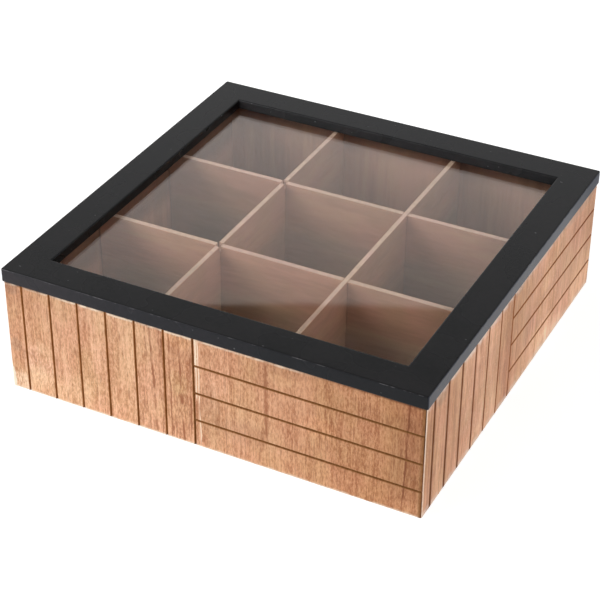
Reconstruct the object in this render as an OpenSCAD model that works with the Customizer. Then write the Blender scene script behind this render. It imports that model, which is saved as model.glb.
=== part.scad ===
// Tea bag box with nine compartments and a hinged, glazed lid.
// The origin is the middle of the underside, the front faces -Y and the hinges are at the back.

/* [Box] */
// Outside width of the walls, left to right
box_w = 238.6; // [180:0.2:320]
// Outside depth of the walls, front to back
box_d = 238.6; // [180:0.2:320]
// Height of the walls
wall_h = 66.5; // [50:0.5:110]
// Thickness of the walls
wall_t = 6.5; // [5.2:0.1:9]
// Bevel along the long outer edges of a wall and down its left-hand corner
wall_bevel = 0.5; // [0.2:0.1:1]
// Open quirk left down the right-hand corner of each wall
corner_quirk = 0.7; // [0.3:0.1:1.5]

/* [Bottom panel] */
// Thickness of the bottom panel
bottom_t = 3; // [2:0.1:5]
// How far the rebate for the bottom panel reaches into the walls
bottom_lap = 3; // [2:0.1:4]
// Play round the edge of the bottom panel in its rebate
bottom_play = 0.2; // [0.1:0.1:0.5]

/* [Grooves in the walls] */
// Distance between neighbouring grooves
groove_pitch = 17; // [12:0.5:24]
// Distance from the left-hand end of a wall to its first upright groove
groove_start = 9.8; // [6:0.2:16]
// Width of a groove between its bevelled lips
groove_w = 0.8; // [0.5:0.1:1.6]
// Depth of a groove
groove_depth = 1; // [0.5:0.1:1.6]
// Bevel on each lip of a groove
groove_lip = 0.2; // [0.1:0.05:0.4]

/* [Dividers] */
// Thickness of the two dividers that run across the box
cross_t = 3.2; // [2:0.1:5]
// Thickness of the two dividers that run from front to back
deep_t = 2.7; // [2:0.1:5]
// Distance between the middles of neighbouring dividers
divider_pitch = 75; // [55:0.5:90]
// How far the dividers stop short of the top of the walls
divider_drop = 0.5; // [0.2:0.1:8]
// Play between the end of a divider and the wall
divider_play = 0.8; // [0.1:0.1:1.5]
// Play of one divider in the slot of another
slot_play = 0.5; // [0.1:0.1:0.8]
// Play in height between the ends of two slots that lap
lap_play = 0.2; // [0.1:0.1:0.6]
// Depth of the relief notches in the top edge of the left divider
notch_depth = 3.4; // [0.8:0.1:6]
// Extra width of a relief notch over the divider that crosses there
notch_play = 1.2; // [0.4:0.1:2]

/* [Lid] */
// How far the lid stands out past the walls all round
lid_over = 0.7; // [0.3:0.1:3]
// Thickness of the lid's rails
lid_t = 8; // [7:0.1:14]
// Width of the lid's rails
rail_w = 19; // [16:0.5:32]
// Radius of the eased edges of the rails
rail_edge_r = 0.8; // [0.3:0.1:1.5]
// Bevel down the outer corners of the lid
lid_corner_bevel = 0.6; // [0.2:0.1:1.5]

/* [Glass] */
// Thickness of the glass pane
pane_t = 2; // [1.5:0.1:3]
// How far the glass lies above the underside of the rails
pane_rise = 0.7; // [0.5:0.1:2]
// How far the glass reaches under the rails
pane_lap = 4.5; // [3:0.5:6]
// Play round the edge of the glass in its rebate
pane_play = 0.5; // [0.2:0.1:1]
// Width of the sealant bead under the edge of the glass
bead_w = 2.6; // [1.5:0.1:3]
// How far the sealant bead stays clear of the underside of the rails
bead_clear = 0.15; // [0.05:0.05:0.3]

/* [Hinges] */
// Distance from the side of the box to the nearer end of a hinge
hinge_inset = 37; // [20:1:60]
// Length of a hinge
leaf_l = 24; // [20:0.5:32]
// Thickness of a hinge leaf
leaf_t = 0.8; // [0.6:0.05:1]
// Gap between the two leaves of a closed hinge
leaf_gap = 0.2; // [0.1:0.05:0.4]
// Wood left between a leaf and the inside of the wall
leaf_margin = 1.3; // [0.8:0.1:1.6]
// Play round a leaf in its recess
leaf_play = 0.1; // [0.05:0.05:0.3]
// Outside diameter of the knuckles
knuckle_d = 3.2; // [2.8:0.1:4]
// Gap between neighbouring knuckles
knuckle_gap = 0.3; // [0.2:0.05:0.5]
// Gap between the knuckles and the back edge of the lid
barrel_gap = 0.25; // [0.15:0.05:1]
// Diameter of the hinge pin
pin_d = 1.4; // [1:0.1:1.6]
// Radial play of the pin in the lid's knuckle
pin_play = 0.05; // [0.02:0.01:0.1]
// Diameter of the pin's two flat heads
pin_head_d = 2.2; // [2:0.1:2.8]
// Thickness of the pin's heads
pin_head_t = 0.4; // [0.2:0.1:1]
// Opening angle at which the stop lip meets the back wall
stop_angle = 100; // [92:1:110]
// Length of the stop lip beyond the knuckle
stop_l = 1.8; // [1:0.1:4]
// Gap left at the stop lip when the lid is fully open
stop_gap = 0.05; // [0.02:0.01:0.2]

/* [Screws] */
// Diameter of the screw shanks
screw_d = 1.8; // [1.4:0.1:2]
// Diameter of the countersunk heads
screw_head_d = 3.2; // [2.8:0.1:3.6]
// Distance between the two screws of a leaf
screw_spacing = 14; // [10:0.5:16]
// Length of the screws in the back wall
wall_screw_l = 9; // [6:0.5:14]
// Length of the screws in the lid
lid_screw_l = 5.5; // [4:0.5:6]
// Play round a screw in its holes
screw_play = 0.05; // [0.02:0.01:0.1]

/* [Hidden] */
$fn = 48;

// overshoot of a cutting shape past the face that it cuts
cut = 1;
inner_w = box_w - 2 * wall_t;
inner_d = box_d - 2 * wall_t;
lid_w = box_w + 2 * lid_over;
lid_d = box_d + 2 * lid_over;
divider_top = wall_h - divider_drop;
divider_h = divider_top - bottom_t;
divider_at = divider_pitch / 2;
rebate_w = pane_lap + pane_play;
rebate_h = pane_rise + pane_t;
pane_w = lid_w - 2 * (rail_w - pane_lap);
pane_d = lid_d - 2 * (rail_w - pane_lap);
leaf_w = wall_t - leaf_margin;
leaf_face = leaf_gap / 2;
leaf_depth = leaf_face + leaf_t;
axis_out = lid_over + barrel_gap + knuckle_d / 2;
axis_y = box_d / 2 + axis_out;
knuckle_l = (leaf_l - 2 * knuckle_gap) / 3;
knuckle_step = knuckle_l + knuckle_gap;
hinge_x = box_w / 2 - hinge_inset - leaf_l / 2;
screw_head_h = (screw_head_d - screw_d) / 2;
recess_w = 0.5;
recess_l = screw_head_d * 0.6;
recess_depth = screw_head_h * 0.7;

veneer = [0.80, 0.60, 0.45];
plywood = [0.78, 0.62, 0.48];
hardboard = [0.70, 0.52, 0.38];
black_paint = [0.16, 0.16, 0.165];
clear_glass = [0.80, 0.88, 0.86, 0.35];
black_sealant = [0.10, 0.10, 0.10];
brassed = [0.72, 0.58, 0.30];
plated = [0.75, 0.70, 0.55];

// Side 0 is the front, 1 the right, 2 the back and 3 the left.
function side_len(side, w, d) = side % 2 == 0 ? w : d;
function side_out(side, w, d) = side % 2 == 0 ? d / 2 : w / 2;

// Carries a board from y = 0 out to its side of a w by d rectangle, outer face outwards.
module on_side(side, w, d)
    rotate([0, 0, 90 * side]) translate([0, -side_out(side, w, d), 0]) children();

// Sweeps a section, drawn as depth by height, along the length of a board.
module sweep_board(len)
    rotate([90, 0, 90]) linear_extrude(len, center = true) children();

// ---- walls ----

// Plan of a wall: mitred ends, a bevelled left corner and an open quirk on the right.
module wall_plan(len)
    polygon([
        [-len / 2 + wall_bevel, 0],
        [len / 2 - corner_quirk, 0],
        [len / 2 - corner_quirk, corner_quirk],
        [len / 2 - wall_t, wall_t],
        [-len / 2 + wall_t, wall_t],
        [-len / 2 + wall_bevel / 2, wall_bevel / 2]
    ]);

// Section of a wall, with the rebate for the bottom panel on the inside.
module wall_section()
    polygon([
        [wall_bevel, 0],
        [wall_t - bottom_lap, 0],
        [wall_t - bottom_lap, bottom_t],
        [wall_t, bottom_t],
        [wall_t, wall_h],
        [wall_bevel, wall_h],
        [0, wall_h - wall_bevel],
        [0, wall_bevel]
    ]);

// Section of a groove, across by depth, with bevelled lips.
module groove_section()
    polygon([
        [-groove_w / 2 - groove_lip, -cut],
        [groove_w / 2 + groove_lip, -cut],
        [groove_w / 2 + groove_lip, 0],
        [groove_w / 2, groove_lip],
        [groove_w / 2, groove_depth],
        [-groove_w / 2, groove_depth],
        [-groove_w / 2, groove_lip],
        [-groove_w / 2 - groove_lip, 0]
    ]);

// Upright grooves up to the middle of the wall, then level ones from the last of them to the end.
module grooves(len) {
    upright_last = floor((len / 2 - groove_start) / groove_pitch);
    level_last = ceil(wall_h / groove_pitch) - 1;
    last_x = groove_start + upright_last * groove_pitch - len / 2;
    for (i = [0 : upright_last])
        translate([groove_start + i * groove_pitch - len / 2, 0, -cut])
            linear_extrude(wall_h + 2 * cut) groove_section();
    for (i = [1 : level_last])
        translate([last_x, 0, wall_h - i * groove_pitch])
            rotate([0, 90, 0]) linear_extrude(len / 2 - last_x + cut) groove_section();
}

module wall(side) {
    len = side_len(side, box_w, box_d);
    on_side(side, box_w, box_d)
        difference() {
            intersection() {
                sweep_board(len) wall_section();
                linear_extrude(wall_h) wall_plan(len);
            }
            grooves(len);
        }
}

module front_wall() color(veneer) wall(0);
module right_wall() color(veneer) wall(1);
module left_wall() color(veneer) wall(3);

module back_wall()
    color(veneer)
        difference() {
            wall(2);
            at_hinges() {
                wall_leaf_recess();
                at_screws() wall_screw_hole();
            }
        }

module bottom_panel()
    color(hardboard)
        translate([0, 0, bottom_t / 2])
            cube([
                inner_w + 2 * (bottom_lap - bottom_play),
                inner_d + 2 * (bottom_lap - bottom_play),
                bottom_t
            ], center = true);

// ---- dividers ----

// A divider that runs along X, standing on the bottom panel, with its middle at y = 0.
module divider_board(len, thick)
    translate([-len / 2, -thick / 2, bottom_t]) cube([len, thick, divider_h]);

// Slots through a divider of this thickness, where the two others cross it.
module crossing_slots(thick, width, low, high)
    for (x = [-divider_at, divider_at])
        translate([x - width / 2, -thick / 2 - cut, low])
            cube([width, thick + 2 * cut, high - low]);

// Runs across the box, with slots that open upwards.
module cross_divider(y)
    translate([0, y, 0])
        difference() {
            divider_board(inner_w - 2 * divider_play, cross_t);
            crossing_slots(
                cross_t,
                deep_t + slot_play,
                bottom_t + divider_h / 2 - lap_play / 2,
                divider_top + cut
            );
        }

// Runs from front to back, with slots that open downwards.
module deep_divider(x, notched)
    translate([x, 0, 0]) rotate([0, 0, 90])
        difference() {
            divider_board(inner_d - 2 * divider_play, deep_t);
            crossing_slots(
                deep_t,
                cross_t + slot_play,
                bottom_t - cut,
                bottom_t + divider_h / 2 + lap_play / 2
            );
            if (notched)
                crossing_slots(
                    deep_t,
                    cross_t + notch_play,
                    divider_top - notch_depth,
                    divider_top + cut
                );
        }

module divider_front() color(plywood) cross_divider(-divider_at);
module divider_back() color(plywood) cross_divider(divider_at);
module divider_left() color(plywood) deep_divider(-divider_at, true);
module divider_right() color(plywood) deep_divider(divider_at, false);

// ---- lid ----

// Plan of a lid rail: mitred ends with bevelled tips.
module rail_plan(len)
    polygon([
        [-len / 2 + lid_corner_bevel, 0],
        [len / 2 - lid_corner_bevel, 0],
        [len / 2 - lid_corner_bevel / 2, lid_corner_bevel / 2],
        [len / 2 - rail_w, rail_w],
        [-len / 2 + rail_w, rail_w],
        [-len / 2 + lid_corner_bevel / 2, lid_corner_bevel / 2]
    ]);

// Section of a rail: eased edges, and the rebate for the glass underneath.
module rail_section()
    difference() {
        union() {
            translate([rail_edge_r, 0]) square([rail_w - 2 * rail_edge_r, lid_t]);
            translate([0, rail_edge_r]) square([rail_w, lid_t - 2 * rail_edge_r]);
            for (y = [rail_edge_r, rail_w - rail_edge_r], z = [rail_edge_r, lid_t - rail_edge_r])
                translate([y, z]) circle(r = rail_edge_r);
        }
        translate([rail_w - rebate_w, -cut]) square([rebate_w + cut, rebate_h + cut]);
    }

module rail(side) {
    len = side_len(side, lid_w, lid_d);
    translate([0, 0, wall_h])
        on_side(side, lid_w, lid_d)
            intersection() {
                sweep_board(len) rail_section();
                linear_extrude(lid_t) rail_plan(len);
            }
}

module lid_front_rail() color(black_paint) rail(0);
module lid_right_rail() color(black_paint) rail(1);
module lid_left_rail() color(black_paint) rail(3);

module lid_back_rail()
    color(black_paint)
        difference() {
            rail(2);
            at_hinges() {
                lid_leaf_recess();
                at_screws() lid_screw_hole();
            }
        }

module glass_pane()
    color(clear_glass)
        translate([0, 0, wall_h + pane_rise + pane_t / 2])
            cube([pane_w, pane_d, pane_t], center = true);

// A rectangular ring of the given outer size and width.
module ring(w, d, width, height)
    linear_extrude(height)
        difference() {
            square([w, d], center = true);
            square([w - 2 * width, d - 2 * width], center = true);
        }

// A bead that fills the play round the glass and laps under its edge.
module glass_sealant() {
    w = pane_w + 2 * pane_play;
    d = pane_d + 2 * pane_play;
    color(black_sealant)
        translate([0, 0, wall_h]) {
            translate([0, 0, bead_clear]) ring(w, d, pane_play + bead_w, pane_rise - bead_clear);
            translate([0, 0, pane_rise]) ring(w, d, pane_play, pane_t / 2);
        }
}

// ---- hinges ----

// The hinge axis lies in the plane between the walls and the lid, just behind the lid's edge.
module at_hinge(x) translate([x, axis_y, wall_h]) children();

module at_hinges()
    for (x = [-hinge_x, hinge_x])
        at_hinge(x) children();

// Screw positions along the middle of a leaf, in the hinge's own frame.
module at_screws()
    for (x = [-screw_spacing / 2, screw_spacing / 2])
        translate([x, -axis_out - leaf_w / 2, 0]) children();

module leaf_recess(depth)
    translate([-leaf_l / 2 - leaf_play, -axis_out - leaf_w - leaf_play, 0])
        cube([leaf_l + 2 * leaf_play, leaf_w + leaf_play + axis_out, depth + cut]);

module wall_leaf_recess() translate([0, 0, -leaf_depth]) leaf_recess(leaf_depth);
module lid_leaf_recess() mirror([0, 0, 1]) wall_leaf_recess();
module wall_screw_hole() screw_hole(wall_screw_l);
module lid_screw_hole() mirror([0, 0, 1]) screw_hole(lid_screw_l);

module screw_hole(len)
    translate([0, 0, -leaf_face - len - screw_play])
        cylinder(h = len, d = screw_d + 2 * screw_play);

// Countersunk hole through a leaf whose face is at z = -leaf_face.
module leaf_hole()
    translate([0, 0, -leaf_face])
        rotate_extrude()
            polygon([
                [0, cut],
                [screw_head_d / 2 + screw_play, cut],
                [screw_head_d / 2 + screw_play, 0],
                [screw_d / 2 + screw_play, -screw_head_h],
                [screw_d / 2 + screw_play, -leaf_t - cut],
                [0, -leaf_t - cut]
            ]);

// Cylinder along X about the hinge axis.
module axial(len, d)
    rotate([0, 90, 0]) cylinder(h = len, d = d, center = true);

// A leaf that lies below the axis, with knuckles at the given places along it.
module leaf(places, bore_d) {
    plate_end = knuckle_d / 2 + barrel_gap;
    difference() {
        union() {
            translate([-leaf_l / 2, -axis_out - leaf_w, -leaf_depth])
                cube([leaf_l, axis_out + leaf_w - plate_end, leaf_t]);
            for (i = places)
                translate([i * knuckle_step, 0, 0]) {
                    translate([-knuckle_l / 2, -plate_end - cut, -leaf_depth])
                        cube([knuckle_l, plate_end + cut, leaf_t]);
                    axial(knuckle_l, knuckle_d);
                }
        }
        axial(leaf_l + cut, bore_d);
        at_screws() leaf_hole();
    }
}

// Lip on the lid's knuckle, drawn where it lands on the back wall and turned back to the closed lid.
module stop_lip()
    rotate([stop_angle, 0, 0])
        translate([-knuckle_l / 2, -axis_out + stop_gap, -knuckle_d / 2 - stop_l])
            cube([knuckle_l, leaf_t, knuckle_d / 2 + stop_l]);

// The wall's leaf is cut back to the wall between its knuckles, so that the stop lip can pass.
module wall_leaf()
    color(brassed)
        difference() {
            leaf([-1, 1], pin_d);
            translate([-knuckle_l / 2 - knuckle_gap, -axis_out, -leaf_depth - cut])
                cube([knuckle_l + 2 * knuckle_gap, axis_out, leaf_depth + cut]);
        }

module lid_leaf()
    color(brassed)
        difference() {
            union() {
                mirror([0, 0, 1]) leaf([0], pin_d + 2 * pin_play);
                stop_lip();
                stop_web();
            }
            axial(leaf_l + cut, pin_d + 2 * pin_play);
        }

// Bend that carries the stop lip out of the knuckle.
module stop_web()
    rotate([stop_angle, 0, 0])
        translate([-knuckle_l / 2, -axis_out + stop_gap, -leaf_t])
            cube([knuckle_l, axis_out - stop_gap, leaf_t]);

module pin()
    color(plated) {
        axial(leaf_l, pin_d);
        for (side = [-1, 1])
            translate([side * (leaf_l + pin_head_t) / 2, 0, 0]) axial(pin_head_t, pin_head_d);
    }

module hinge_left_wall_leaf() at_hinge(-hinge_x) wall_leaf();
module hinge_left_lid_leaf() at_hinge(-hinge_x) lid_leaf();
module hinge_left_pin() at_hinge(-hinge_x) pin();
module hinge_right_wall_leaf() at_hinge(hinge_x) wall_leaf();
module hinge_right_lid_leaf() at_hinge(hinge_x) lid_leaf();
module hinge_right_pin() at_hinge(hinge_x) pin();

// ---- screws ----

// Countersunk screw with a cross recess, head face at z = -leaf_face, pointing down.
module screw(len)
    translate([0, 0, -leaf_face])
        difference() {
            rotate_extrude()
                polygon([
                    [0, 0],
                    [screw_head_d / 2, 0],
                    [screw_d / 2, -screw_head_h],
                    [screw_d / 2, -len + screw_d],
                    [0, -len]
                ]);
            for (turn = [0, 90])
                rotate([0, 0, turn])
                    cube([recess_l, recess_w, 2 * recess_depth], center = true);
        }

module wall_screws() color(plated) at_hinges() at_screws() screw(wall_screw_l);
module lid_screws() color(plated) at_hinges() at_screws() mirror([0, 0, 1]) screw(lid_screw_l);

front_wall();
right_wall();
back_wall();
left_wall();
bottom_panel();
divider_front();
divider_back();
divider_left();
divider_right();
lid_front_rail();
lid_right_rail();
lid_back_rail();
lid_left_rail();
glass_pane();
glass_sealant();
hinge_left_wall_leaf();
hinge_left_lid_leaf();
hinge_left_pin();
hinge_right_wall_leaf();
hinge_right_lid_leaf();
hinge_right_pin();
wall_screws();
lid_screws();
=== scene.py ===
import math

import bmesh
import bpy
from mathutils import Matrix, Vector


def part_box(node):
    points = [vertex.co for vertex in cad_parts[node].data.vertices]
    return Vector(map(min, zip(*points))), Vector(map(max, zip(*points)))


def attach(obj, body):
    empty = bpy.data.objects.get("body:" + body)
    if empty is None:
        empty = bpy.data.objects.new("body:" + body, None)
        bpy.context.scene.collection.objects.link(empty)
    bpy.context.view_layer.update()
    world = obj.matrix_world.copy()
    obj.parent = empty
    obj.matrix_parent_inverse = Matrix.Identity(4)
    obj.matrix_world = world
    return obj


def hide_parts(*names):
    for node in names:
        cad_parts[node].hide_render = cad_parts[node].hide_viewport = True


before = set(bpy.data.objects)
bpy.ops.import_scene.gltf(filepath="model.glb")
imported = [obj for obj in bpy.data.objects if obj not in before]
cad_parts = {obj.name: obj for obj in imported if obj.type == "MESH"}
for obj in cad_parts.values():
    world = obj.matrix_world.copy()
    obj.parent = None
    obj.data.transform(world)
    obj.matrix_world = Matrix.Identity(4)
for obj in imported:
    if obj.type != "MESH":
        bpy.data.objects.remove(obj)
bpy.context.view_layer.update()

scene = bpy.context.scene
mm = 0.001
sides = ("front", "right", "back", "left")  # each a quarter turn on from the one before

# sizes that the frame gives: how far out the walls and the rails stand, how thick they are and how high
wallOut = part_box("right_wall")[1].x
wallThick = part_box("front_wall")[1].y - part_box("front_wall")[0].y
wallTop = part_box("front_wall")[1].z
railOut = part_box("lid_right_rail")[1].x
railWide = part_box("lid_front_rail")[1].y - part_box("lid_front_rail")[0].y
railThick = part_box("lid_front_rail")[1].z - wallTop
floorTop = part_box("bottom_panel")[1].z
print("frame loaded, walls out to", round(wallOut / mm, 2), "mm")


def ownValues(shape, side):
    # what one side takes from a dictionary: its own value, else the one for the others
    return {key: value.get(side, value.get("others")) if isinstance(value, dict) else value
            for key, value in shape.items()}


# small helpers for node materials

making = {}  # the node tree that put adds to


def startNodes(owner):
    owner.use_nodes = True
    owner.node_tree.nodes.clear()
    making["tree"] = owner.node_tree
    return owner


def newMaterial(name):
    return startNodes(bpy.data.materials.new(name))


def put(kind, values=None, **settings):
    # a node of a kind, what its sockets get (a colour as three numbers) and its settings
    tree = making["tree"]
    node = tree.nodes.new("ShaderNode" + kind)
    for name, value in settings.items():
        setattr(node, name, value)
    for place, value in (values or {}).items():
        socket = node.inputs[place]
        if isinstance(value, bpy.types.NodeSocket):
            tree.links.new(value, socket)
        else:
            socket.default_value = (*value, 1) if socket.type == "RGBA" else value
    return node


def objectSpot():
    return put("TexCoord").outputs["Object"]


def paint(shader):
    put("OutputMaterial", {"Surface": shader.outputs[0]})


def calc(operation, a, b=0.0):
    return put("Math", {0: a, 1: b}, operation=operation).outputs[0]


def plus(a, b):
    return calc("ADD", a, b)


def minus(a, b):
    return calc("SUBTRACT", a, b)


def times(a, b):
    return calc("MULTIPLY", a, b)


def slide(value, low, high, start=0.0, end=1.0, how="LINEAR"):
    return put("MapRange", {"Value": value, "From Min": low, "From Max": high, "To Min": start,
                            "To Max": end}, interpolation_type=how).outputs[0]


def ease(*values):
    return slide(*values, how="SMOOTHSTEP")


def mixColour(amount, a, b, mode="MIX"):
    return put("Mix", {0: amount, 6: a, 7: b}, data_type="RGBA", blend_type=mode).outputs[2]


def tinted(colour, factor, amount=1.0):
    return mixColour(amount, colour, factor, "MULTIPLY")


def grey(level):
    return put("CombineColor", {0: level, 1: level, 2: level}).outputs[0]


def grain(vector, scale, detail=2.0, roughness=0.5, place=(0, 0, 0)):
    # scale: changes per metre, one number or one for each axis
    scale = scale if isinstance(scale, tuple) else (scale,) * 3
    moved = put("Mapping", {"Vector": vector, "Scale": scale, "Location": place}).outputs[0]
    return put("TexNoise", {"Vector": moved, "Scale": 1.0, "Detail": detail,
                            "Roughness": roughness}).outputs["Fac"]


def coat(colour, rough, bump, more):
    # bump: the height that it follows, how strong and how deep in mm; more: what other sockets get
    height, strength, deep = bump
    bump = put("Bump", {"Strength": strength, "Distance": deep * mm, "Height": height}).outputs[0]
    paint(put("BsdfPrincipled", {"Base Color": colour, "Roughness": rough, "Normal": bump, **more}))


def ramp(value, stops):
    node = put("ValToRGB", {"Fac": value})
    row = node.color_ramp.elements
    while len(row) < len(stops):
        row.new(0.5)
    while len(row) > len(stops):
        row.remove(row[-1])
    for element, (place, colour) in zip(row, stops):
        element.position = place
        element.color = (*colour, 1)
    return node.outputs[0]


def factorAlong(value, low, high, stops):
    # a factor on the colour by place in mm; the ramp holds a third of it, as it stops at 1
    place = slide(value, low, high)
    thirds = [((at * mm - low) / (high - low), tuple(f / 3 for f in factor)) for at, factor in stops]
    return put("VectorMath", {0: ramp(place, thirds), "Scale": 3.0}, operation="SCALE").outputs[0]


def blotReach(u, z, place, height, halfWide, halfHigh):
    # 0 in the middle of a blot on a wall, 1 on its rim
    across = times(plus(u, -place * mm), 1 / (halfWide * mm))
    up = times(plus(z, -height * mm), 1 / (halfHigh * mm))
    return plus(times(across, across), times(up, up))


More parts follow.
